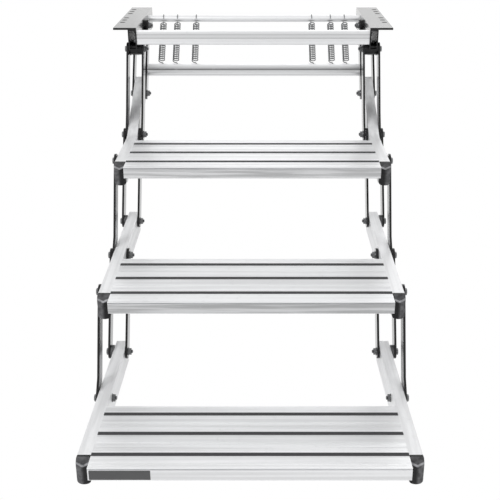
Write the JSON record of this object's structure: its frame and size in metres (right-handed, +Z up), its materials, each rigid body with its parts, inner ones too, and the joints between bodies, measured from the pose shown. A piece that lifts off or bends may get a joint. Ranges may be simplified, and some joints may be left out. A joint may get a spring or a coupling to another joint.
{
  "type": "caravan entry step",
  "caption": "Folding entry step: stacked aluminium decks with black grip strips, black steel bar links and slotted mounting brackets",
  "frame": {"origin": "middle of the pattern of mounting slots, on the top face of the two flanges", "axes": "+X to the right seen from outside the door, -Y away from the vehicle, +Z up"},
  "size_m": [0.692, 1.2599, 0.6816],
  "materials": {
    "black_steel": "smooth black powder coat, satin",
    "aluminium": "natural anodised extrusion, fine lines along its length",
    "spring_steel": "bright drawn wire",
    "zinc": "bright zinc plating",
    "strip_rubber": "dull ribbed rubber",
    "black_plastic": "fine moulded grain"
  },
  "bodies": {
    "frame": {"bracket_left": "black_steel", "bracket_right": "black_steel", "front_cross_member": "aluminium", "rear_cross_tube": "aluminium", "frame_bolts": "zinc"},
    "springs": {"spring_left_outer": "spring_steel", "spring_left_middle": "spring_steel", "spring_left_inner": "spring_steel", "spring_right_outer": "spring_steel", "spring_right_middle": "spring_steel", "spring_right_inner": "spring_steel"},
    "upper_front_links": {"upper_front_link_outer_left": "black_steel", "upper_front_link_outer_right": "black_steel", "upper_front_link_inner_left": "black_steel", "upper_front_link_inner_right": "black_steel"},
    "upper_rear_links": {"upper_rear_link_outer_left": "black_steel", "upper_rear_link_outer_right": "black_steel", "upper_rear_link_inner_left": "black_steel", "upper_rear_link_inner_right": "black_steel", "spring_bar": "aluminium", "upper_rear_bolts": "zinc"},
    "tread_1": {"top_rail_left": "aluminium", "top_rail_right": "aluminium", "top_plank_rear": "aluminium", "top_plank_middle": "aluminium", "top_plank_front": "aluminium", "top_grip_strips": "strip_rubber", "top_end_caps": "black_plastic", "top_spacers": "black_plastic", "top_bolts": "zinc"},
    "mid_front_links": {"middle_front_link_left": "black_steel", "middle_front_link_right": "black_steel"},
    "mid_rear_links": {"middle_rear_link_outer_left": "black_steel", "middle_rear_link_outer_right": "black_steel", "middle_rear_link_inner_left": "black_steel", "middle_rear_link_inner_right": "black_steel"},
    "tread_2": {"middle_rail_left": "aluminium", "middle_rail_right": "aluminium", "middle_plank_rear": "aluminium", "middle_plank_middle": "aluminium", "middle_plank_front": "aluminium", "middle_grip_strips": "strip_rubber", "middle_end_caps": "black_plastic", "middle_spacers": "black_plastic", "middle_bolts": "zinc"},
    "low_front_links": {"bottom_front_link_left": "black_steel", "bottom_front_link_right": "black_steel"},
    "low_rear_links": {"bottom_rear_link_outer_left": "black_steel", "bottom_rear_link_outer_right": "black_steel", "bottom_rear_link_inner_left": "black_steel", "bottom_rear_link_inner_right": "black_steel"},
    "tread_3": {"bottom_rail_left": "aluminium", "bottom_rail_right": "aluminium", "bottom_plank_rear": "aluminium", "bottom_plank_middle": "aluminium", "bottom_plank_front": "aluminium", "bottom_grip_strips": "strip_rubber", "bottom_end_caps": "black_plastic", "bottom_spacers": "black_plastic", "bottom_bolts": "zinc"}
  },
  "joints": [
    {"name": "upper_fold", "type": "hinge", "parent": "frame", "child": "upper_front_links", "pos_m": [0, -0.1565, -0.057], "axis": [1, 0, 0], "range_deg": [0, 84]},
    {"name": "upper_rear_swing", "type": "hinge", "parent": "frame", "child": "upper_rear_links", "pos_m": [0, -0.0015, -0.025], "axis": [1, 0, 0], "range_deg": [0, 97]},
    {"name": "spring_swing", "type": "hinge", "parent": "frame", "child": "springs", "pos_m": [0, 0.046, -0.015], "axis": [1, 0, 0], "range_deg": [0, 91.5], "deforming": ["spring_left_outer", "spring_left_middle", "spring_left_inner", "spring_right_outer", "spring_right_middle", "spring_right_inner"]},
    {"name": "tread_1_level", "type": "hinge", "parent": "upper_front_links", "child": "tread_1", "pos_m": [0, -0.26, -0.25], "axis": [1, 0, 0], "range_deg": [-84.6, 0]},
    {"name": "mid_fold", "type": "hinge", "parent": "tread_1", "child": "mid_front_links", "pos_m": [0, -0.444, -0.258], "axis": [1, 0, 0], "range_deg": [0, 103]},
    {"name": "mid_rear_swing", "type": "hinge", "parent": "tread_1", "child": "mid_rear_links", "pos_m": [0, -0.26, -0.25], "axis": [1, 0, 0], "range_deg": [0, 103]},
    {"name": "tread_2_level", "type": "hinge", "parent": "mid_front_links", "child": "tread_2", "pos_m": [0, -0.554, -0.448], "axis": [1, 0, 0], "range_deg": [-103, 0]},
    {"name": "low_fold", "type": "hinge", "parent": "tread_2", "child": "low_front_links", "pos_m": [0, -0.738, -0.447], "axis": [1, 0, 0], "range_deg": [0, 101]},
    {"name": "low_rear_swing", "type": "hinge", "parent": "tread_2", "child": "low_rear_links", "pos_m": [0, -0.554, -0.448], "axis": [1, 0, 0], "range_deg": [0, 101]},
    {"name": "tread_3_level", "type": "hinge", "parent": "low_front_links", "child": "tread_3", "pos_m": [0, -0.848, -0.637], "axis": [1, 0, 0], "range_deg": [-101, 0]}
  ],
  "couplings": [
    {"joint": "upper_rear_swing", "follows": "upper_fold", "ratio": 1.154},
    {"joint": "spring_swing", "follows": "upper_fold", "ratio": 1.08},
    {"joint": "tread_1_level", "follows": "upper_fold", "ratio": -1.007},
    {"joint": "mid_rear_swing", "follows": "mid_fold", "ratio": 1},
    {"joint": "tread_2_level", "follows": "mid_fold", "ratio": -1},
    {"joint": "low_rear_swing", "follows": "low_fold", "ratio": 1},
    {"joint": "tread_3_level", "follows": "low_fold", "ratio": -1}
  ]
}
